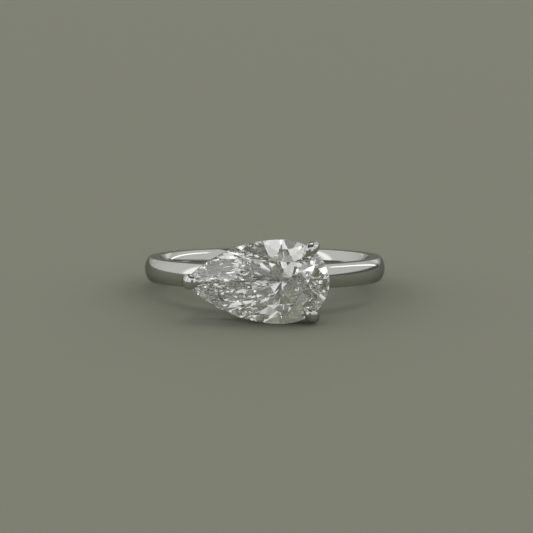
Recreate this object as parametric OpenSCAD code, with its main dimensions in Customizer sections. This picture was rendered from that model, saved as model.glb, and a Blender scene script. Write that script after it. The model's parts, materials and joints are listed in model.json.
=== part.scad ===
// Pear solitaire engagement ring, laid on its side.
// The ring is drawn with the finger axis along Z and the table of the stone facing -Y,
// then tipped to the pose in which it lies on a flat surface by itself.

/* [Band] */
// Inside diameter of the band
finger_d = 17.3; // [15:0.1:20]
// Width of the band along the finger
band_w = 2.0; // [1.8:0.1:2.6]
// Thickness of the band at the top of its dome
band_t = 1.65; // [1.5:0.05:2]
// How far the dome falls from its top to the edges of the band
dome_drop = 0.35; // [0.2:0.05:0.5]
// Width of the straight middle of the inner wall
inner_land = 0.8; // [0.6:0.1:1]
// How far the inner wall curves away from the finger at its edges
inner_drop = 0.35; // [0.15:0.05:0.35]

/* [Stone] */
// Width of the stone at its widest place, the belly
stone_w = 6.98; // [6.4:0.02:7.4]
// Length from the belly to the round end
head_len = 3.94; // [3.6:0.02:4.4]
// Length from the belly to the point
wing_len = 7.9; // [7:0.1:8.6]
// Radius of the rounded point
tip_r = 0.5; // [0.35:0.05:0.6]
// Height of the crown above the girdle
crown_h = 1.05; // [0.9:0.05:1.3]
// Thickness of the girdle where the facets meet it
girdle_t = 0.26; // [0.24:0.02:0.4]
// Depth of the pavilion below the girdle
pavilion_d = 3.0; // [2.8:0.05:3.2]
// Size of the table as a share of the outline
table_share = 0.56; // [0.5:0.01:0.62]
// Share of the crown height that the star facets take
star_share = 0.35; // [0.3:0.05:0.5]
// Depth of the inner ends of the lower girdle facets as a share of the pavilion
half_share = 0.74; // [0.65:0.01:0.8]

/* [Setting] */
// Distance of the girdle from the finger axis
girdle_reach = 13.8; // [13.7:0.1:14.6]
// Gap between the stone and the metal
seat_gap = 0.04; // [0.03:0.01:0.08]
// Depth of the gallery rail below the girdle
rail_drop = 2.0; // [1.8:0.1:2.2]
// How far the rail lies inside the outline of the stone
rail_inset = 0.8; // [0.7:0.1:1]
// Radius of the rail round the point of the stone
rail_tip_r = 0.8; // [0.6:0.1:1]
// Half the thickness of the rail wire
rail_half = 0.36; // [0.3:0.02:0.4]
// Half the thickness of the claw legs
leg_half = 0.44; // [0.4:0.02:0.5]
// How far the feet of the two claws at the round end stand apart from the middle of the band
foot_spread = 0.45; // [0.3:0.05:0.5]

/* [Rest] */
// Roll of the ring as it lies, with the point of the stone lowered
rest_roll = 0.9; // [0.5:0.1:1.5]

/* [Hidden] */

finger_r = finger_d / 2;
band_r = finger_r + band_t;
edge_r = band_r - dome_drop;
dome_r = (band_w * band_w / 4 + dome_drop * dome_drop) / (2 * dome_drop);
// Radius of the curves on each side of the inner wall's straight middle
comfort_r = (pow((band_w - inner_land) / 2, 2) + inner_drop * inner_drop) / (2 * inner_drop);

// Sizes of a pear outline: half width, head length, wing length, radius of the point
stone_size = [stone_w / 2, head_len, wing_len, tip_r];
rail_size = [stone_w / 2 - rail_inset, head_len - rail_inset, wing_len - 1.25 * rail_inset, rail_tip_r];
// Distances from the finger axis at which a claw's foot ends in the band and leaves it
foot_reach = [finger_r + 0.7, band_r - 0.1];
// The belly lies off the middle, so that the stone's length is centred on the band
belly_x = (wing_len - head_len) / 2;

// The outline is divided into steps: 12 on a quarter of the head, 16 on a wing, 3 on half the point
HEAD_STEPS = 12;
WING_STEPS = 16;
TIP_STEPS = 3;
HALF_STEPS = HEAD_STEPS + WING_STEPS + TIP_STEPS;
STEPS = 2 * HALF_STEPS;

// The ring rests on the lowest edge of the girdle in front and on an edge of the band behind
rest_tilt = atan(
    ((stone_w - band_w) / 2 - belly_x * sin(rest_roll)) / (girdle_reach - girdle_t / 2 + edge_r)
);
// Direction straight down, in the frame of the ring
down = [-cos(rest_tilt) * sin(rest_roll), sin(rest_tilt), -cos(rest_tilt) * cos(rest_roll)];
rest_lift = max(
    edge_r * norm([down[0], down[1]]) - down[2] * band_w / 2,
    max([for (j = [0 : STEPS - 1]) down * girdle_point(j)])
);
middle_y = (girdle_reach + girdle_t / 2 + crown_h - band_r) / 2 * cos(rest_tilt);

// Steps at which the girdle facets of the crown meet the girdle, from each kite facet to the next
CROWN_STOPS = [
    [0, 4, 8], [8, 12, 16], [16, 20, 24], [24, 28, 31],
    [31, 34, 38], [38, 42, 46], [46, 50, 54], [54, 58, 62]
];
// The same for the pavilion, from each main facet to the next
PAVILION_STOPS = [
    [0, 4, 8], [8, 12, 15], [15, 18, 21], [21, 24, 27], [27, 29, 31],
    [31, 33, 35], [35, 38, 41], [41, 44, 47], [47, 50, 54], [54, 58, 62]
];

// Sections of a claw from its neck to its point: distance outside the outline, height above the
// middle of the girdle, half width, half thickness
CLAW_SECTIONS = [
    [0.34, -0.60, 0.48, 0.44],
    [0.33, 0.05, 0.52, 0.48],
    [0.22, 0.40, 0.535, 0.46],
    [-0.05, 0.62, 0.48, 0.34],
    [-0.35, 0.68, 0.33, 0.20],
    [-0.62, 0.72, 0.17, 0.11],
    [-0.82, 0.76, 0.02, 0.02]
];
// The claws: place on the outline, direction it leans from, angle of its foot round the band,
// offset of its foot across the band, how far it is set in from its sections' distances, and its
// width as a share of theirs
CLAWS = [
    [3, 180, -27, 0, 0.5, 1.2],
    [0.574, 47, 20, foot_spread, 0.12, 1],
    [-0.574, -47, 20, -foot_spread, 0.12, 1]
];
// How far the culet moves for each part that the facets do
CULET_GROWTH = 1.3;
CLAW_SIDES = 14;
CLAW_RINGS = 26;
RAIL_SIDES = 10;
// Step along a claw over which its direction is taken, in sections
CLAW_STEP = 0.02;

// Radius of the wing arcs, which are tangent to the belly and to the rounded point
function wing_r(s) = ((s[2] - s[3]) * (s[2] - s[3]) + s[0] * s[0] - s[3] * s[3]) / (2 * (s[0] - s[3]));
// Angle that a wing arc turns through
function wing_turn(s) = asin((s[2] - s[3]) / (wing_r(s) - s[3]));
// Angle of the outline's normal from the Y axis, for a place from the belly, 1, to the point, 3
function wing_angle(a, s) =
    a <= 2 ? (a - 1) * wing_turn(s) : wing_turn(s) + (a - 2) * (90 - wing_turn(s));

// Place on the outline of sizes s: 0 at the round end, 1 at the belly, 2 to 3 round the point.
// The head is half an ellipse, the wings and the point are arcs. Below 0 it is the other side.
function half_pear(a, s) =
    a <= 1 ? [s[1] * cos(90 * a), s[0] * sin(90 * a)] :
    let (r = wing_r(s), f = wing_angle(a, s))
    a <= 2 ? [-r * sin(f), r * cos(f) - r + s[0]] : [s[3] - s[2] - s[3] * sin(f), s[3] * cos(f)];
function pear(t, s) = let (p = half_pear(abs(t), s)) [p[0], t < 0 ? -p[1] : p[1]];

// Direction of the outline, towards the point on the +Y side and away from it on the other
function half_way(a, s) =
    a <= 1 ? [-s[1] * sin(90 * a), s[0] * cos(90 * a)] :
    let (f = wing_angle(a, s)) [-cos(f), -sin(f)];
function pear_way(t, s) = let (d = half_way(abs(t), s)) t < 0 ? [-d[0], d[1]] : d;

// Place of step j on the outline
function place_half(j) =
    j <= HEAD_STEPS ? j / HEAD_STEPS :
    j <= HEAD_STEPS + WING_STEPS ? 1 + (j - HEAD_STEPS) / WING_STEPS :
    2 + (j - HEAD_STEPS - WING_STEPS) / TIP_STEPS;
function place(j) = j <= HALF_STEPS ? place_half(j) : -place_half(STEPS - j);

// Plane through three points, as its normal and its distance along it
function plane(a, b, c) = let (n = cross(b - a, c - a)) [n, n * a];
// Height of a plane over a point
function plane_z(pl, p) = (pl[1] - pl[0][0] * p[0] - pl[0][1] * p[1]) / pl[0][2];
// Point at height z on the line in which two planes meet
function meet(p, q, z) =
    let (
        c = p[1] - p[0][2] * z,
        d = q[1] - q[0][2] * z,
        w = p[0][0] * q[0][1] - p[0][1] * q[0][0]
    )
    [(c * q[0][1] - d * p[0][1]) / w, (p[0][0] * d - q[0][0] * c) / w, z];

// Point of step j on the outline at height z
function rim(j, s, z) = let (p = pear(place(j), s)) [p[0], p[1], z];
// The same point of the stone's lower girdle edge, in the frame of the ring
function girdle_point(j) =
    let (p = pear(place(j), stone_size)) [p[0] + belly_x, girdle_t / 2 - girdle_reach, p[1]];
// Plane that holds the direction of the outline at step j and a point further in
function main_plane(j, s, z, inner) =
    let (g = rim(j, s, z), d = pear_way(place(j), s)) plane(g, g + [d[0], d[1], 0], inner);
// Steps of one girdle edge, cut by the planes through its stops and the apex of each fan
function edge_ring(stops, apexes, s, z) = [
    for (k = [0 : len(stops) - 1]) for (i = [0 : len(stops[k]) - 2])
    let (
        a = stops[k][i],
        b = stops[k][i + 1],
        pl = plane(apexes[k], rim(a, s, z), rim(b % STEPS, s, z))
    )
    for (j = [a : b - 1]) let (p = rim(j, s, z)) [p[0], p[1], plane_z(pl, p)]
];

// The cut stone, grown by grow on every side. The culet goes further down than the facets move,
// because it is their corner.
module cut_stone(grow) {
    s = stone_size + grow * [1, 1, 1, 1];
    top_z = girdle_t / 2 + grow / 2;
    table_z = girdle_t / 2 + crown_h + grow;
    culet = [0, 0, -girdle_t / 2 - pavilion_d - CULET_GROWTH * grow];
    kites = len(CROWN_STOPS);
    mains = len(PAVILION_STOPS);
    table = [for (k = CROWN_STOPS) concat(table_share * pear(place(k[0]), s), [table_z])];
    kite_planes = [for (k = [0 : kites - 1]) main_plane(CROWN_STOPS[k][0], s, top_z, table[k])];
    star_z = table_z - star_share * crown_h;
    stars = [for (k = [0 : kites - 1]) meet(kite_planes[k], kite_planes[(k + 1) % kites], star_z)];
    main_planes = [for (k = PAVILION_STOPS) main_plane(k[0], s, -top_z, culet)];
    half_z = -top_z + half_share * (culet[2] + top_z);
    halves = [for (k = [0 : mains - 1]) meet(main_planes[k], main_planes[(k + 1) % mains], half_z)];
    upper = edge_ring(CROWN_STOPS, stars, s, top_z);
    lower = edge_ring(PAVILION_STOPS, halves, s, -top_z);
    star_at = kites;
    upper_at = star_at + kites;
    lower_at = upper_at + STEPS;
    half_at = lower_at + STEPS;
    culet_at = half_at + mains;
    table_face = [[for (k = [kites - 1 : -1 : 0]) k]];
    star_faces = [for (k = [0 : kites - 1]) [(k + 1) % kites, star_at + k, k]];
    kite_faces = [
        for (k = [0 : kites - 1])
        [star_at + k, upper_at + CROWN_STOPS[k][0], star_at + (k + kites - 1) % kites, k]
    ];
    upper_faces = [
        for (k = [0 : kites - 1]) for (i = [0 : len(CROWN_STOPS[k]) - 2])
        concat(
            [for (j = [CROWN_STOPS[k][i + 1] : -1 : CROWN_STOPS[k][i]]) upper_at + j % STEPS],
            [star_at + k]
        )
    ];
    girdle_faces = [
        for (j = [0 : STEPS - 1])
        let (n = (j + 1) % STEPS) [upper_at + j, upper_at + n, lower_at + n, lower_at + j]
    ];
    lower_faces = [
        for (k = [0 : mains - 1]) for (i = [0 : len(PAVILION_STOPS[k]) - 2])
        concat(
            [half_at + k],
            [for (j = [PAVILION_STOPS[k][i] : PAVILION_STOPS[k][i + 1]]) lower_at + j % STEPS]
        )
    ];
    main_faces = [
        for (k = [0 : mains - 1])
        [culet_at, half_at + (k + mains - 1) % mains, lower_at + PAVILION_STOPS[k][0], half_at + k]
    ];
    polyhedron(
        points = concat(table, stars, upper, lower, halves, [culet]),
        faces = concat(
            table_face, star_faces, kite_faces, upper_faces,
            girdle_faces, lower_faces, main_faces
        )
    );
}

// Smooth curve through rows of numbers: the row at u, from 0 at the first to len - 1 at the last
function smooth_row(rows, u) =
    let (
        n = len(rows),
        i = min(floor(u), n - 2),
        f = u - i,
        a = rows[max(i - 1, 0)],
        b = rows[i],
        c = rows[i + 1],
        d = rows[min(i + 2, n - 1)]
    )
    b + 0.5 * f * (c - a + f * (2 * a - 5 * b + 4 * c - d + f * (3 * b - a - 3 * c + d)));

function unit(v) = v / norm(v);
function xyz(row) = [row[0], row[1], row[2]];

// Rows of a claw from its foot in the band to its point: x, y, z, half width, half thickness
function claw_rows(claw) =
    let (
        base = pear(claw[0], stone_size),
        out = [cos(claw[1]), sin(claw[1])],
        rail = pear(claw[0], rail_size),
        round_band = [sin(claw[2]), cos(claw[2])]
    )
    concat(
        [
            for (r = foot_reach)
            [
                r * round_band[0] - belly_x, claw[3], r * round_band[1] - girdle_reach,
                leg_half, leg_half
            ]
        ],
        [[rail[0], rail[1], -rail_drop, leg_half, leg_half]],
        [
            for (c = CLAW_SECTIONS)
            let (far = c[0] - claw[4])
            [base[0] + far * out[0], base[1] + far * out[1], c[1], c[2] * claw[5], c[3]]
        ]
    );

// One claw: an ellipse carried along its rows, with its width across the direction it leans
module claw(claw) {
    rows = claw_rows(claw);
    last = len(rows) - 1;
    across = [-sin(claw[1]), cos(claw[1]), 0];
    points = [
        for (i = [0 : CLAW_RINGS])
        let (
            u = last * i / CLAW_RINGS,
            row = smooth_row(rows, u),
            ahead = xyz(smooth_row(rows, min(u + CLAW_STEP, last))),
            behind = xyz(smooth_row(rows, max(u - CLAW_STEP, 0))),
            way = unit(ahead - behind),
            side = unit(across - (across * way) * way),
            back = cross(way, side)
        )
        for (j = [0 : CLAW_SIDES - 1])
        let (a = 360 * j / CLAW_SIDES) xyz(row) + row[3] * cos(a) * side + row[4] * sin(a) * back
    ];
    walls = [
        for (i = [0 : CLAW_RINGS - 1]) for (j = [0 : CLAW_SIDES - 1])
        let (n = (j + 1) % CLAW_SIDES, a = i * CLAW_SIDES, b = a + CLAW_SIDES)
        [a + j, b + j, b + n, a + n]
    ];
    foot = [for (j = [0 : CLAW_SIDES - 1]) j];
    tip = [for (j = [CLAW_SIDES - 1 : -1 : 0]) CLAW_RINGS * CLAW_SIDES + j];
    polyhedron(points = points, faces = concat(walls, [foot], [tip]));
}

// The gallery rail: a round wire carried along a smaller pear outline
module rail() {
    points = [
        for (i = [0 : STEPS - 1])
        let (
            p = pear(place(i), rail_size),
            d = unit(pear_way(place(i), rail_size)),
            out = [d[1], -d[0], 0]
        )
        for (j = [0 : RAIL_SIDES - 1])
        let (a = 360 * j / RAIL_SIDES)
        [p[0], p[1], -rail_drop] + rail_half * (cos(a) * out + sin(a) * [0, 0, 1])
    ];
    faces = [
        for (i = [0 : STEPS - 1]) for (j = [0 : RAIL_SIDES - 1])
        let (m = (j + 1) % RAIL_SIDES, a = i * RAIL_SIDES, b = ((i + 1) % STEPS) * RAIL_SIDES)
        [a + m, b + m, b + j, a + j]
    ];
    polyhedron(points = points, faces = faces);
}

// The band: an inner wall that curves away at its edges, straight sides and a domed outside
module shank() {
    rotate_extrude($fn = 64)
        intersection() {
            union() {
                translate([finger_r, -inner_land / 2])
                    square([band_t, inner_land]);
                translate([finger_r + comfort_r, -band_w / 2])
                    square([band_t, band_w]);
                for (side = [-1, 1])
                    translate([finger_r + comfort_r, side * inner_land / 2])
                        circle(comfort_r, $fn = 64);
            }
            translate([finger_r, -band_w / 2])
                square([band_t, band_w]);
            translate([band_r - dome_r, 0])
                circle(dome_r, $fn = 64);
        }
}

// From the stone's frame, with the table facing up, to the ring's, with it facing -Y
module on_band() {
    translate([belly_x, -girdle_reach, 0])
        rotate([90, 0, 0])
            children();
}

// Lays the ring at rest: rolled, tipped and lifted, with its footprint centred on the origin
module at_rest() {
    translate([0, middle_y, rest_lift])
        rotate([-rest_tilt, 0, 0])
            rotate([0, -rest_roll, 0])
                children();
}

module band_and_setting() {
    color("gainsboro")
        at_rest() {
            union() {
                shank();
                on_band() {
                    difference() {
                        for (c = CLAWS)
                            claw(c);
                        cut_stone(seat_gap);
                    }
                    rail();
                }
            }
        }
}

module stone() {
    color("azure")
        at_rest()
            on_band()
                cut_stone(0);
}

band_and_setting();
stone();
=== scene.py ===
"""Pear solitaire ring, dressed for a studio picture.

The band, the claws and the gallery rail are smooth surfaces worked out from the sizes in the
panel. The stone is the carried-over solid with a diamond finish. All of it lies where the frame
says, and the ring's own axes come from its finger hole.
"""

import json
import math

import bmesh
import bpy
import numpy as np
from bpy.props import FloatProperty, FloatVectorProperty, IntProperty, PointerProperty
from mathutils import Euler, Matrix, Vector


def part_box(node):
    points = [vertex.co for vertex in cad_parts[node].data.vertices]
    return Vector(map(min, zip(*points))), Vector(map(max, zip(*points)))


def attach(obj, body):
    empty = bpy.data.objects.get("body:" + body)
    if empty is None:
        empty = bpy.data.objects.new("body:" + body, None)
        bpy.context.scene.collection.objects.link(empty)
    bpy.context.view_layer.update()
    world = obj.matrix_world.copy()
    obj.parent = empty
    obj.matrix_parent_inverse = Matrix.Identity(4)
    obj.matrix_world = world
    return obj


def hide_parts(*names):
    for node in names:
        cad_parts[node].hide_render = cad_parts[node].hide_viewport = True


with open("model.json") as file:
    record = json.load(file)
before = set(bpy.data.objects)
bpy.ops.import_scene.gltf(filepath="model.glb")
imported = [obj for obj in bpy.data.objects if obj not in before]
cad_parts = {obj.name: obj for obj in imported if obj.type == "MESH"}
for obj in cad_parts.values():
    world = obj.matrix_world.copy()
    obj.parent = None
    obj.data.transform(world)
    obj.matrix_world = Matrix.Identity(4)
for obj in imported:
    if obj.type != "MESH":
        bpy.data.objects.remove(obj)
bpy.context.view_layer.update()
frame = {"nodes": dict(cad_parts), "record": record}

bl_info = {
    "name": "Pear Solitaire Ring",
    "version": (1, 0, 0),
    "blender": (4, 5, 0),
    "location": "View3D > Sidebar > Ring",
    "description": "Builds a pear solitaire ring and its studio",
    "category": "Add Mesh",
}

MM = 0.001
BODY = "root"
METAL_NODE = "band_and_setting"
STONE_NODE = "stone"
POLISHED_GOLD = "polished_white_gold"

FINGER_HOLE = next(m for m in frame["record"]["mounts"] if m["name"] == "finger_hole")
FINGER_R = FINGER_HOLE["dims"]["r_mm"] * MM

# Points along the band's section: half the dome, an edge, a side, half the inner wall
DOME_STEPS, EDGE_STEPS, SIDE_STEPS, WALL_STEPS = 24, 8, 6, 20

# Claw sections from the neck to the point: distance outside the stone's outline, height above
# the middle of the girdle, half width, half thickness, in millimetres
CLAW_SECTIONS = np.array([
    (0.34, -0.60, 0.48, 0.44),
    (0.33, 0.05, 0.52, 0.48),
    (0.22, 0.40, 0.535, 0.46),
    (-0.05, 0.62, 0.48, 0.34),
    (-0.35, 0.68, 0.33, 0.20),
    (-0.62, 0.72, 0.17, 0.11),
    (-0.82, 0.76, 0.02, 0.02),
])
# Claws: name, place on the outline, direction each leans from and angle of its foot round the
# band in degrees, side of the band that its foot is on, how far it is set in from its sections'
# distances in millimetres, and its width as a share of theirs
CLAWS = (
    ("claw_at_point", 3.0, 180.0, -27.0, 0, 0.5, 1.2),
    ("claw_upper", 0.574, 47.0, 20.0, 1, 0.12, 1.0),
    ("claw_lower", -0.574, -47.0, 20.0, -1, 0.12, 1.0),
)
# Where a claw starts, outside the finger hole, and where it leaves the band, under its top
FOOT_START, FOOT_DEPTH = 0.7 * MM, 0.1 * MM
# The rail's inset at the point of the outline, as a share of its inset elsewhere
RAIL_POINT_SHARE = 1.25

# Corners of the stone closer than this are one, and a claw's edges sharper than this stay sharp
MERGE_DISTANCE = 1e-7
SHARP_ANGLE = math.radians(30)

# Noise scales of the metal's polishing haze, finest marks and slow waves
HAZE_SCALE, MARK_SCALE, WAVE_SCALE = 900.0, 9000.0, 350.0
WAVE_HEIGHT = 0.02 * MM
# A facet is part of the girdle if its normal, along the table's, is shorter than this
GIRDLE_SLOPE = 0.2

# Soft boxes: name, turn round the ring from the front, height above the floor, width and height
# as seen from the ring and roll, all in degrees, glow, and shares of the width and of the height
# over which the glow fades at each edge
SOFT_BOXES = (
    ("left", -95, 28, 116, 58, 0, 0.82, 0.15, 0.08),
    ("right", 103, 34, 116, 56, 0, 0.76, 0.12, 0.08),
    ("back", 180, 12, 72, 24, 0, 0.62, 0.1, 0.1),
    ("front_left", -30, 21, 30, 46, 0, 1.0, 0.15, 0.15),
    ("front_right", 30, 21, 30, 46, 0, 1.0, 0.15, 0.15),
    ("front_top", 0, 34, 30, 22, 0, 1.0, 0.15, 0.15),
    ("overhead", 180, 75, 42, 46, 0, 1.7, 0.2, 0.4),
    ("left_strip", -77, 25, 17, 50, 0, 0.85, 0.3, 0.1),
    ("right_strip", 117, 26, 66, 5, -39, 2.3, 0.12, 0.35),
)
BOX_DISTANCE = 0.8
# Power of a square metre of a box whose glow is 1
POWER_OF_GLOW = math.pi**2 / 4
FLOOR_SIDE = 3.0

# Bounces of light in all, and off or through a surface: many, for the inside of the stone
ALL_BOUNCES, SURFACE_BOUNCES = 32, 24
# Limit on a sample of indirect light, which keeps stray bright dots out of the picture
BRIGHTEST_SAMPLE = 10.0

PICTURE_SIDE = 533
SENSOR_WIDTH = 36.0
NEAREST = 10 * MM


class BandSizes(bpy.types.PropertyGroup):
    """Sizes of the band."""

    width: FloatProperty(
        name="Width", description="Width along the finger", default=2.0 * MM, unit="LENGTH",
    )
    thickness: FloatProperty(
        name="Thickness", description="Thickness at the top of the dome", default=1.65 * MM,
        unit="LENGTH",
    )
    dome_drop: FloatProperty(
        name="Dome", description="Fall of the dome from its top to the edges",
        default=0.35 * MM, unit="LENGTH",
    )
    inner_drop: FloatProperty(
        name="Comfort curve",
        description="How far the inner wall curves away from the finger at its edges",
        default=0.35 * MM, unit="LENGTH",
    )
    edge_round: FloatProperty(
        name="Edge rounding", description="Radius of the polished edges", default=0.06 * MM,
        unit="LENGTH",
    )
    around: IntProperty(name="Steps", description="Steps round the band", default=512)


class SettingSizes(bpy.types.PropertyGroup):
    """Sizes of the stone's outline and of the claws and rail that follow it."""

    stone_width: FloatProperty(
        name="Stone width", description="Width of the stone at the belly", default=6.98 * MM,
        unit="LENGTH",
    )
    head: FloatProperty(
        name="Head", description="Belly to round end", default=3.94 * MM, unit="LENGTH",
    )
    wing: FloatProperty(
        name="Wing", description="Belly to point", default=7.9 * MM, unit="LENGTH",
    )
    tip: FloatProperty(
        name="Point radius", description="Radius of the point", default=0.5 * MM, unit="LENGTH",
    )
    reach: FloatProperty(
        name="Reach", description="Finger axis to the girdle", default=13.8 * MM, unit="LENGTH",
    )
    leg: FloatProperty(
        name="Claw leg", description="Half thickness of a leg", default=0.44 * MM, unit="LENGTH",
    )
    foot_spread: FloatProperty(
        name="Foot spread", description="Distance of a foot from the band's middle",
        default=0.45 * MM, unit="LENGTH",
    )
    rail_drop: FloatProperty(
        name="Rail depth", description="Depth of the rail below the girdle", default=2.0 * MM,
        unit="LENGTH",
    )
    rail_inset: FloatProperty(
        name="Rail inset", description="Rail's distance inside the outline", default=0.8 * MM,
        unit="LENGTH",
    )
    rail_tip: FloatProperty(
        name="Rail point radius", description="Radius of the rail round the point",
        default=0.8 * MM, unit="LENGTH",
    )
    rail_half: FloatProperty(
        name="Rail wire", description="Half thickness of the rail", default=0.36 * MM,
        unit="LENGTH",
    )
    seat_gap: FloatProperty(
        name="Seat gap", description="Gap between the stone and the claws", default=0.03 * MM,
        unit="LENGTH",
    )


class Finish(bpy.types.PropertyGroup):
    """Colours and polish."""

    gold: FloatVectorProperty(
        name="White gold", description="Colour of the metal", subtype="COLOR",
        default=(0.598, 0.602, 0.573),
    )
    gold_edge: FloatVectorProperty(
        name="Grazing tint", description="Tint of the metal where it is seen edge on",
        subtype="COLOR", default=(0.55, 0.55, 0.53),
    )
    polish: FloatProperty(
        name="Polish", description="Roughness of the metal", default=0.07, min=0, max=1,
        subtype="FACTOR",
    )
    diamond: FloatVectorProperty(
        name="Diamond", description="Tint of the stone", subtype="COLOR",
        default=(0.99, 0.992, 0.955),
    )
    index: FloatProperty(
        name="Index", description="Refractive index of the stone", default=2.417,
    )
    girdle_frost: FloatProperty(
        name="Girdle", description="Roughness of the girdle", default=0.3, min=0, max=1,
        subtype="FACTOR",
    )


class Studio(bpy.types.PropertyGroup):
    """Camera, floor and lights."""

    distance: FloatProperty(
        name="Distance", description="Camera to the middle of the ring", default=0.35,
        unit="LENGTH",
    )
    above_band: FloatProperty(
        name="Above the band", description="Angle of the camera above the band's plane",
        default=math.radians(4.7), subtype="ANGLE",
    )
    turn: FloatProperty(
        name="Turn", description="Turn of the camera round the ring", default=math.radians(-2.4),
        subtype="ANGLE",
    )
    ring_width_px: FloatProperty(
        name="Ring width", description="Width of the band in the picture", default=239.9,
        subtype="PIXEL",
    )
    middle_px: FloatVectorProperty(
        name="Middle", description="Middle of the ring in the picture, in pixels", size=2,
        default=(264.8, 267.9),
    )
    floor: FloatVectorProperty(
        name="Floor", description="Colour of the floor", subtype="COLOR",
        default=(0.325, 0.335, 0.256),
    )
    sky: FloatVectorProperty(
        name="Room", description="Colour of the room's soft light", subtype="COLOR",
        default=(0.12, 0.12, 0.12),
    )


class Socket:
    """A shader socket that adds Math nodes when it is used in an expression."""

    def __init__(self, maker, socket):
        self.maker, self.socket = maker, socket

    def _math(self, operation, *values):
        return self.maker.node("ShaderNodeMath", {"operation": operation}, *values)

    def __add__(self, other):
        return self._math("ADD", self, other)

    def __sub__(self, other):
        return self._math("SUBTRACT", self, other)

    def __rsub__(self, other):
        return self._math("SUBTRACT", other, self)

    def __mul__(self, other):
        return self._math("MULTIPLY", self, other)

    def __lt__(self, other):
        return self._math("LESS_THAN", self, other)

    def __abs__(self):
        return self._math("ABSOLUTE", self)

    __radd__, __rmul__ = __add__, __mul__


class Nodes:
    """A node tree: node() adds any node and set() fills the inputs of its shader.

    An underscore in the name of an input stands for a space.
    """

    def __init__(self, owner, shader):
        owner.use_nodes = True
        self.tree = owner.node_tree
        self.shader = self.tree.nodes[shader]

    def node(self, kind, settings=None, *values, output=0, **named):
        """Adds a node and returns one of its outputs, the first unless output names another."""
        made = self.tree.nodes.new(kind)
        for key, value in (settings or {}).items():
            setattr(made, key, value)
        for number, value in enumerate(values):
            self.feed(made.inputs[number], value)
        self.feed_named(made, named)
        return Socket(self, made.outputs[output])

    def feed(self, socket, value):
        if isinstance(value, Socket):
            self.tree.links.new(value.socket, socket)
        else:
            socket.default_value = value

    def feed_named(self, node, named):
        for name, value in named.items():
            self.feed(node.inputs[name.replace("_", " ")], value)

    def set(self, **named):
        self.feed_named(self.shader, named)


class Material(Nodes):
    """A node material on a Principled shader."""

    def __init__(self, name):
        self.material = bpy.data.materials.new(name)
        super().__init__(self.material, "Principled BSDF")


def ring_matrix():
    """The ring's own frame, finger axis up and stone to the front, as a matrix into the row frame.

    A turn about Y and then one about X lay +Z along the finger axis.
    """
    up = FINGER_HOLE["axis"]
    roll = math.asin(-up[0])
    tilt = math.atan2(up[1], up[2])
    turn = Matrix.Rotation(-tilt, 4, "X") @ Matrix.Rotation(-roll, 4, "Y")
    return Matrix.Translation(FINGER_HOLE["pos_m"]) @ turn


RING = ring_matrix()


def belly_x(sizes):
    """Distance of the stone's belly from the middle of the band, which centres its length."""
    return (sizes.wing - sizes.head) / 2


def place_in_row(points):
    """Points of the ring's frame, turned and moved into the row frame."""
    turn = np.array(RING.to_3x3())
    return points @ turn.T + np.array(RING.translation)


def from_stone(points, sizes):
    """Points of the stone's frame, table up, in the ring's frame, table to the front."""
    x, y, z = np.moveaxis(points, -1, 0)
    return np.stack([x + belly_x(sizes), -z - sizes.reach, y], axis=-1)


def unit(vectors):
    """Vectors at length 1."""
    return vectors / np.linalg.norm(vectors, axis=-1, keepdims=True)


def pear(place, half, head, wing, tip):
    """Points and directions of a pear outline at the given places.

    Places run from 0 at the round end over 1 at the belly to 3 at the point, and below 0 on the
    other side. Up to 1 it is a quarter of an ellipse, then an arc tangent to it at the belly,
    whose radius r makes it tangent at 2 to a small arc of radius tip round the point:
    r = ((wing - tip)^2 + half^2 - tip^2) / (2 (half - tip)).
    """
    side = np.where(place < 0, -1.0, 1.0)
    a = np.abs(place)
    on_head, on_wing = a <= 1, a <= 2
    r = ((wing - tip) ** 2 + half**2 - tip**2) / (2 * (half - tip))
    turn = np.arcsin((wing - tip) / (r - tip))
    angle = np.where(on_wing, (a - 1) * turn, turn + (a - 2) * (np.pi / 2 - turn))
    quarter = np.clip(a, 0, 1) * np.pi / 2
    bend = np.where(on_wing, r, tip)
    middle_x = np.where(on_wing, 0, tip - wing)
    middle_y = np.where(on_wing, half - r, 0)
    x = np.where(on_head, head * np.cos(quarter), middle_x - bend * np.sin(angle))
    y = np.where(on_head, half * np.sin(quarter), middle_y + bend * np.cos(angle))
    way_x = np.where(on_head, -head * np.sin(quarter), -np.cos(angle))
    way_y = np.where(on_head, half * np.cos(quarter), -np.sin(angle))
    return np.stack([x, y * side], axis=-1), unit(np.stack([way_x * side, way_y], axis=-1))


def smooth_rows(rows, u):
    """Rows of a table read at u, from 0 to len - 1, on the smooth curve through them.

    Between rows b and c, with a before and d after, a share f of the way, Catmull-Rom gives
    b + f/2 (c - a + f (2a - 5b + 4c - d + f (3b - a - 3c + d))).
    """
    last = len(rows) - 1
    i = np.minimum(u.astype(int), last - 1)
    f = (u - i)[:, None]
    a, b, c, d = (rows[np.clip(i + k, 0, last)] for k in (-1, 0, 1, 2))
    return b + 0.5 * f * (c - a + f * (2 * a - 5 * b + 4 * c - d + f * (3 * b - a - 3 * c + d)))


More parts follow.
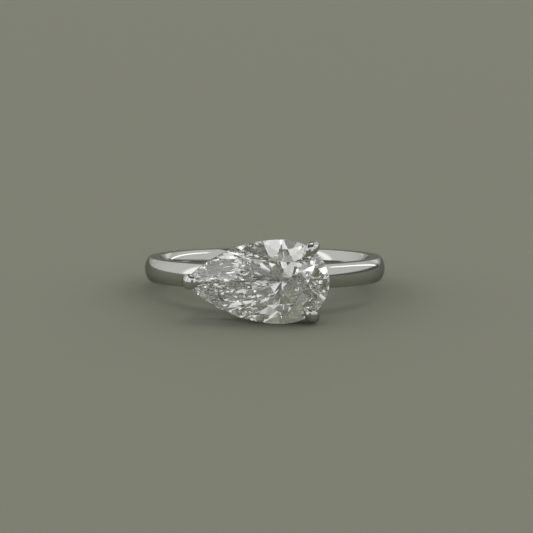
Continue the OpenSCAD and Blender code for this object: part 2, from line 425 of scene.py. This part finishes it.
def surface(name, grid, closed):
    """A mesh piece from a grid of points, rows by columns.

    Columns always close into a ring. closed says whether the rows do too. Otherwise the first
    and last rows are capped.
    """
    rows, columns = grid.shape[:2]
    number = np.arange(rows * columns).reshape(rows, columns)
    if closed:
        number = np.vstack([number, number[:1]])
    here, beside = number[:-1], np.roll(number[:-1], -1, axis=1)
    above, across = number[1:], np.roll(number[1:], -1, axis=1)
    quads = np.stack([here, beside, across, above], axis=-1).reshape(-1, 4).tolist()
    caps = [] if closed else [number[0, ::-1].tolist(), number[-1].tolist()]
    mesh = bpy.data.meshes.new(name)
    mesh.from_pydata(place_in_row(grid.reshape(-1, 3)), [], quads + caps)
    work = bmesh.new()
    work.from_mesh(mesh)
    bmesh.ops.recalc_face_normals(work, faces=work.faces)
    work.to_mesh(mesh)
    work.free()
    mesh.shade_smooth()
    piece = bpy.data.objects.new(name, mesh)
    bpy.context.scene.collection.objects.link(piece)
    return piece


def arc(middle, radius, start, end, steps):
    """Points of an arc in the plane, with angles in degrees and both ends included."""
    a = np.radians(np.linspace(start, end, steps))
    return np.stack([middle[0] + radius * np.cos(a), middle[1] + radius * np.sin(a)], axis=-1)


def band_profile(sizes):
    """Outline of the band's section, as distance from the finger axis and place along it.

    The outside is a dome and the inner wall a flatter curve the other way. The radius of each
    follows from its drop d over the half width h: (h^2 + d^2) / (2 d). Between them the sides
    are straight. A small arc, tangent to the side and to the curve, rounds each edge. Its
    middle lies its radius e inside both.
    """
    h, e = sizes.width / 2, sizes.edge_round
    dome, comfort = ((h * h + d * d) / (2 * d) for d in (sizes.dome_drop, sizes.inner_drop))
    low, high = FINGER_R + sizes.thickness - dome, FINGER_R + comfort
    lean, fall = (math.degrees(math.asin((h - e) / (r - e))) for r in (dome, comfort))
    outer = low + (dome - e) * math.cos(math.radians(lean))
    inner = high - (comfort - e) * math.cos(math.radians(fall))
    half = np.concatenate([
        arc((low, 0), dome, 0, lean, DOME_STEPS),
        arc((outer, h - e), e, lean, 90, EDGE_STEPS)[1:],
        np.linspace((outer, h), (inner, h), SIDE_STEPS)[1:],
        arc((inner, h - e), e, 90, 180 - fall, EDGE_STEPS)[1:],
        arc((high, 0), comfort, 180 - fall, 180, WALL_STEPS)[1:],
    ])
    return np.concatenate([half, (half * [1, -1])[-2:0:-1]])


def band_grid(sizes):
    """The band: its section turned round the finger axis by a, (r sin a, -r cos a, height)."""
    r, height = band_profile(sizes).T
    a = np.linspace(0, 2 * np.pi, sizes.around, endpoint=False)[:, None]
    return np.stack(np.broadcast_arrays(r * np.sin(a), -r * np.cos(a), height), axis=-1)


def tube(rows, across, sides):
    """An ellipse carried along rows of x, y, z, half width and half thickness.

    A point is middle + half width cos(a) side + half thickness sin(a) back, where side is the
    part of across that is square to the path and back is square to both.
    """
    middle, half_w, half_t = rows[:, :3], rows[:, 3, None, None], rows[:, 4, None, None]
    way = unit(np.gradient(middle, axis=0))
    side = unit(across - (way @ across)[:, None] * way)
    back = np.cross(way, side)
    a = np.linspace(0, 2 * np.pi, sides, endpoint=False)[None, :, None]
    return middle[:, None] + half_w * np.cos(a) * side[:, None] + half_t * np.sin(a) * back[:, None]


def outline_sizes(sizes):
    """Half width, head, wing and point radius of the stone."""
    return sizes.stone_width / 2, sizes.head, sizes.wing, sizes.tip


def rail_sizes(sizes):
    """Half width, head, wing and point radius of the rail."""
    inset = sizes.rail_inset
    wing = sizes.wing - RAIL_POINT_SHARE * inset
    return sizes.stone_width / 2 - inset, sizes.head - inset, wing, sizes.rail_tip


def claw_grid(sizes, band, place, leans, foot, side, set_in, width, rings=160, sides=64):
    """A claw: an ellipse carried on a smooth curve from its foot in the band, past the rail and
    the girdle, to its point over the crown."""
    place = np.array([place])
    base, rail = (pear(place, *s)[0][0] for s in (outline_sizes(sizes), rail_sizes(sizes)))
    lean, turn = math.radians(leans), math.radians(foot)
    out = np.array([math.cos(lean), math.sin(lean)])
    reach = np.array([FINGER_R + FOOT_START, FINGER_R + band.thickness - FOOT_DEPTH])
    feet = np.stack([
        reach * math.sin(turn) - belly_x(sizes),
        np.full(2, side * sizes.foot_spread),
        reach * math.cos(turn) - sizes.reach,
        np.full(2, sizes.leg),
        np.full(2, sizes.leg),
    ], axis=-1)
    knee = [[*rail, -sizes.rail_drop, sizes.leg, sizes.leg]]
    outside, height, half_w, half_t = CLAW_SECTIONS.T * MM
    outside = outside - set_in * MM
    upper = np.column_stack([base + outside[:, None] * out, height, half_w * width, half_t])
    rows = np.vstack([feet, knee, upper])
    path = smooth_rows(rows, np.linspace(0, len(rows) - 1, rings))
    return from_stone(tube(path, np.array([-out[1], out[0], 0]), sides), sizes)


def rail_grid(sizes, steps=400, sides=40):
    """The gallery rail: a circle carried round a smaller pear outline.

    A point is outline + radius cos(a) outwards + (radius sin(a) - depth) up.
    """
    fine = np.linspace(0, 3, steps // 2 + 1)
    place = np.concatenate([fine, -fine[-2:0:-1]])
    middle, way = pear(place, *rail_sizes(sizes))
    out = np.stack([way[:, 1], -way[:, 0]], axis=-1)
    a = np.linspace(0, 2 * np.pi, sides, endpoint=False)
    flat = middle[:, None] + sizes.rail_half * np.cos(a)[:, None] * out[:, None]
    height = np.broadcast_to(sizes.rail_half * np.sin(a) - sizes.rail_drop, flat.shape[:2])
    return from_stone(np.dstack([flat, height]), sizes)


def cut_seat(piece, gap):
    """Cuts the seat of the stone out of a claw, with a copy of the carried-over stone.

    The copy is scaled about the middle of its box, by enough to move its closest faces by gap.
    """
    stone = frame["nodes"][STONE_NODE]
    cutter = bpy.data.objects.new("seat_cutter", stone.data.copy())
    bpy.context.scene.collection.objects.link(cutter)
    work = bmesh.new()
    work.from_mesh(cutter.data)
    bmesh.ops.remove_doubles(work, verts=work.verts, dist=MERGE_DISTANCE)
    bmesh.ops.recalc_face_normals(work, faces=work.faces)
    low, high = (np.array(c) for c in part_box(STONE_NODE))
    middle = Vector((low + high) / 2)
    grow = 1 + 2 * gap / min(high - low)
    bmesh.ops.transform(
        work,
        matrix=Matrix.Translation(middle) @ Matrix.Scale(grow, 4) @ Matrix.Translation(-middle),
        verts=work.verts,
    )
    work.to_mesh(cutter.data)
    work.free()
    cut = piece.modifiers.new("seat", "BOOLEAN")
    cut.object, cut.operation, cut.solver = cutter, "DIFFERENCE", "EXACT"
    graph = bpy.context.evaluated_depsgraph_get()
    solid = bpy.data.meshes.new_from_object(piece.evaluated_get(graph))
    piece.modifiers.clear()
    piece.data = solid
    bpy.data.objects.remove(cutter)
    solid.set_sharp_from_angle(angle=SHARP_ANGLE)


def white_gold(finish):
    """Polished white gold: a mirror with a faint polishing haze and the slightest waves.

    The haze takes the roughness from 0.7 to 1.3 times the polish, and the finest marks add up to
    0.02. The same marks lie on the waves at 0.04 of their height.
    """
    m = Material(POLISHED_GOLD)
    spot = m.node("ShaderNodeTexCoord", output="Object")
    haze = m.node(
        "ShaderNodeTexNoise", Vector=spot, Scale=HAZE_SCALE, Detail=4.0, Roughness=0.6,
    )
    marks = m.node("ShaderNodeTexNoise", Vector=spot, Scale=MARK_SCALE, Detail=2.0)
    waves = m.node("ShaderNodeTexNoise", Vector=spot, Scale=WAVE_SCALE, Detail=1.0)
    rough = finish.polish * (0.7 + 0.6 * haze) + 0.02 * marks
    bump = m.node(
        "ShaderNodeBump", Strength=0.06, Distance=WAVE_HEIGHT, Height=waves + 0.04 * marks,
    )
    m.set(
        Base_Color=(*finish.gold, 1), Metallic=1.0, Roughness=rough, Normal=bump,
        Specular_Tint=(*finish.gold_edge, 1),
    )
    return m.material


def diamond(finish):
    """Clear diamond with mirror facets and a softly frosted girdle."""
    m = Material("cut_diamond")
    table = RING.to_3x3() @ Vector((0, -1, 0))
    facing = m.node("ShaderNodeTexCoord", output="Normal")
    along = m.node(
        "ShaderNodeVectorMath", {"operation": "DOT_PRODUCT"}, facing, tuple(table), output="Value",
    )
    girdle = abs(along) < GIRDLE_SLOPE
    m.set(
        Base_Color=(*finish.diamond, 1), Roughness=finish.girdle_frost * girdle, IOR=finish.index,
        Transmission_Weight=1.0,
    )
    return m.material


def dress_metal(piece):
    """Gives a piece the white gold finish and its place in the frame."""
    look = bpy.data.materials.get(POLISHED_GOLD) or white_gold(bpy.context.scene.ring_finish)
    piece.data.materials.clear()
    piece.data.materials.append(look)
    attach(piece, BODY)
    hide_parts(METAL_NODE)


def make_floor(studio):
    """A plain matt floor in one soft grey green."""
    half = FLOOR_SIDE / 2
    corners = [(-half, -half, 0), (half, -half, 0), (half, half, 0), (-half, half, 0)]
    mesh = bpy.data.meshes.new("floor")
    mesh.from_pydata(corners, [], [(0, 1, 2, 3)])
    floor = bpy.data.objects.new("floor", mesh)
    bpy.context.scene.collection.objects.link(floor)
    m = Material("floor")
    m.set(Base_Color=(*studio.floor, 1), Roughness=0.8, Specular_IOR_Level=0.25)
    mesh.materials.append(m.material)


def soft_box(name, turn, height, wide, tall, roll, glow, *fades):
    """A soft light whose glow fades towards its edges.

    The glow falls to nothing at an edge as 3 t^2 - 2 t^3, where t runs from 1 where the fade
    starts to 0 at the edge. The power is what gives the middle of the box its glow as radiance.
    """
    turn, height = math.radians(turn), math.radians(height)
    spot = BOX_DISTANCE * Vector((
        math.sin(turn) * math.cos(height), -math.cos(turn) * math.cos(height), math.sin(height)
    ))
    data = bpy.data.lights.new(name, "AREA")
    data.shape = "RECTANGLE"
    data.size, data.size_y = (
        2 * BOX_DISTANCE * math.tan(math.radians(a) / 2) for a in (wide, tall)
    )
    data.energy = glow * data.size * data.size_y * POWER_OF_GLOW
    box = Nodes(data, "Emission")
    spread = box.node("ShaderNodeNewGeometry", output="Parametric")
    strength = 1.0
    for way, fade in zip("XY", fades):
        edge = 0.5 - abs(box.node("ShaderNodeSeparateXYZ", Vector=spread, output=way) - 0.5)
        settings = {"interpolation_type": "SMOOTHSTEP"}
        strength = strength * box.node("ShaderNodeMapRange", settings, edge, 0.0, fade)
    box.set(Strength=strength)
    lamp = bpy.data.objects.new(name, data)
    lamp.location = spot
    aim = (-spot).to_track_quat("-Z", "Y") @ Euler((0, 0, math.radians(roll))).to_quaternion()
    lamp.rotation_euler = aim.to_euler()
    bpy.context.scene.collection.objects.link(lamp)


def make_lights(studio):
    """The room's soft light and the soft boxes, with bounces enough for the stone.

    Large boxes stand at both sides, behind and overhead, small ones in front, and two narrow
    ones draw the bright lines along the band.
    """
    scene = bpy.context.scene
    scene.world = bpy.data.worlds.new("room")
    scene.world.use_nodes = True
    scene.world.node_tree.nodes["Background"].inputs["Color"].default_value = (*studio.sky, 1)
    for box in SOFT_BOXES:
        soft_box(*box)
    scene.view_settings.view_transform = "Standard"
    scene.cycles.max_bounces = ALL_BOUNCES
    scene.cycles.glossy_bounces = scene.cycles.transmission_bounces = SURFACE_BOUNCES
    scene.cycles.sample_clamp_indirect = BRIGHTEST_SAMPLE
    scene.cycles.caustics_reflective = scene.cycles.caustics_refractive = False


def make_camera(studio, band):
    """A long lens at the photograph's angle to the plane of the band.

    A pixel at the ring is the band's outside width over its width in pixels. The camera is moved
    square to its view until the middle of the ring falls on its place in the picture.
    """
    scene = bpy.context.scene
    up, turn = studio.above_band, studio.turn
    ahead = Vector((math.sin(turn) * math.cos(up), math.cos(turn) * math.cos(up), -math.sin(up)))
    back = Matrix.Translation(-ahead * studio.distance)
    aim = ahead.to_track_quat("-Z", "Y").to_matrix().to_4x4()
    pixel = 2 * (FINGER_R + band.thickness) / studio.ring_width_px
    right, down = (PICTURE_SIDE / 2 - place for place in studio.middle_px)
    pose = back @ aim @ Matrix.Translation((right * pixel, -down * pixel, 0))
    data = bpy.data.cameras.new("camera")
    data.sensor_width = SENSOR_WIDTH
    data.lens = SENSOR_WIDTH * studio.distance / (pixel * PICTURE_SIDE)
    data.clip_start = NEAREST
    camera = bpy.data.objects.new("camera", data)
    camera.matrix_world = RING @ pose
    scene.collection.objects.link(camera)
    scene.camera = camera


class RING_OT_studio(bpy.types.Operator):
    """Builds the floor, the lights and the camera"""

    bl_idname = "ring.studio"
    bl_label = "Studio"

    def execute(self, context):
        studio = context.scene.ring_studio
        make_floor(studio)
        make_lights(studio)
        make_camera(studio, context.scene.ring_band)
        return {"FINISHED"}


class RING_OT_band(bpy.types.Operator):
    """Builds the domed band"""

    bl_idname = "ring.band"
    bl_label = "Band"

    def execute(self, context):
        piece = surface("band", band_grid(context.scene.ring_band), closed=True)
        dress_metal(piece)
        return {"FINISHED"}


class RING_OT_claws(bpy.types.Operator):
    """Builds the three claws and cuts the stone's seat in them"""

    bl_idname = "ring.claws"
    bl_label = "Claws"

    def execute(self, context):
        sizes, band = context.scene.ring_setting, context.scene.ring_band
        for name, *where in CLAWS:
            piece = surface(name, claw_grid(sizes, band, *where), closed=False)
            cut_seat(piece, sizes.seat_gap)
            dress_metal(piece)
        return {"FINISHED"}


class RING_OT_rail(bpy.types.Operator):
    """Builds the gallery rail under the stone"""

    bl_idname = "ring.rail"
    bl_label = "Gallery rail"

    def execute(self, context):
        piece = surface("gallery_rail", rail_grid(context.scene.ring_setting), closed=True)
        dress_metal(piece)
        return {"FINISHED"}


class RING_OT_stone(bpy.types.Operator):
    """Gives the stone its diamond finish"""

    bl_idname = "ring.stone"
    bl_label = "Stone"

    def execute(self, context):
        stone = frame["nodes"][STONE_NODE]
        look = diamond(context.scene.ring_finish)
        for slot in stone.material_slots:
            slot.material = look
        return {"FINISHED"}


class RING_PT_panel(bpy.types.Panel):
    """Lists the ring's pieces and sizes"""

    bl_label = "Pear Solitaire Ring"
    bl_space_type = "VIEW_3D"
    bl_region_type = "UI"
    bl_category = "Ring"

    def draw(self, context):
        for step in STEPS:
            self.layout.operator(step.bl_idname)
        for key, group in GROUPS.items():
            box = self.layout.box()
            for name in group.__annotations__:
                box.prop(getattr(context.scene, key), name)


STEPS = (RING_OT_studio, RING_OT_band, RING_OT_claws, RING_OT_rail, RING_OT_stone)
GROUPS = {
    "ring_band": BandSizes,
    "ring_setting": SettingSizes,
    "ring_finish": Finish,
    "ring_studio": Studio,
}


def register():
    """Adds the sizes to the scene, and the operators and the panel."""
    for group in GROUPS.values():
        bpy.utils.register_class(group)
    for key, group in GROUPS.items():
        setattr(bpy.types.Scene, key, PointerProperty(type=group))
    for step in STEPS:
        bpy.utils.register_class(step)
    bpy.utils.register_class(RING_PT_panel)


def unregister():
    """Takes away what register adds, in the reverse order."""
    bpy.utils.unregister_class(RING_PT_panel)
    for step in STEPS:
        bpy.utils.unregister_class(step)
    for key, group in GROUPS.items():
        delattr(bpy.types.Scene, key)
        bpy.utils.unregister_class(group)


def main():
    """Builds the studio and every piece in order."""
    register()
    for step in STEPS:
        group, name = step.bl_idname.split(".")
        getattr(getattr(bpy.ops, group), name)()


if __name__ == "__main__":
    main()
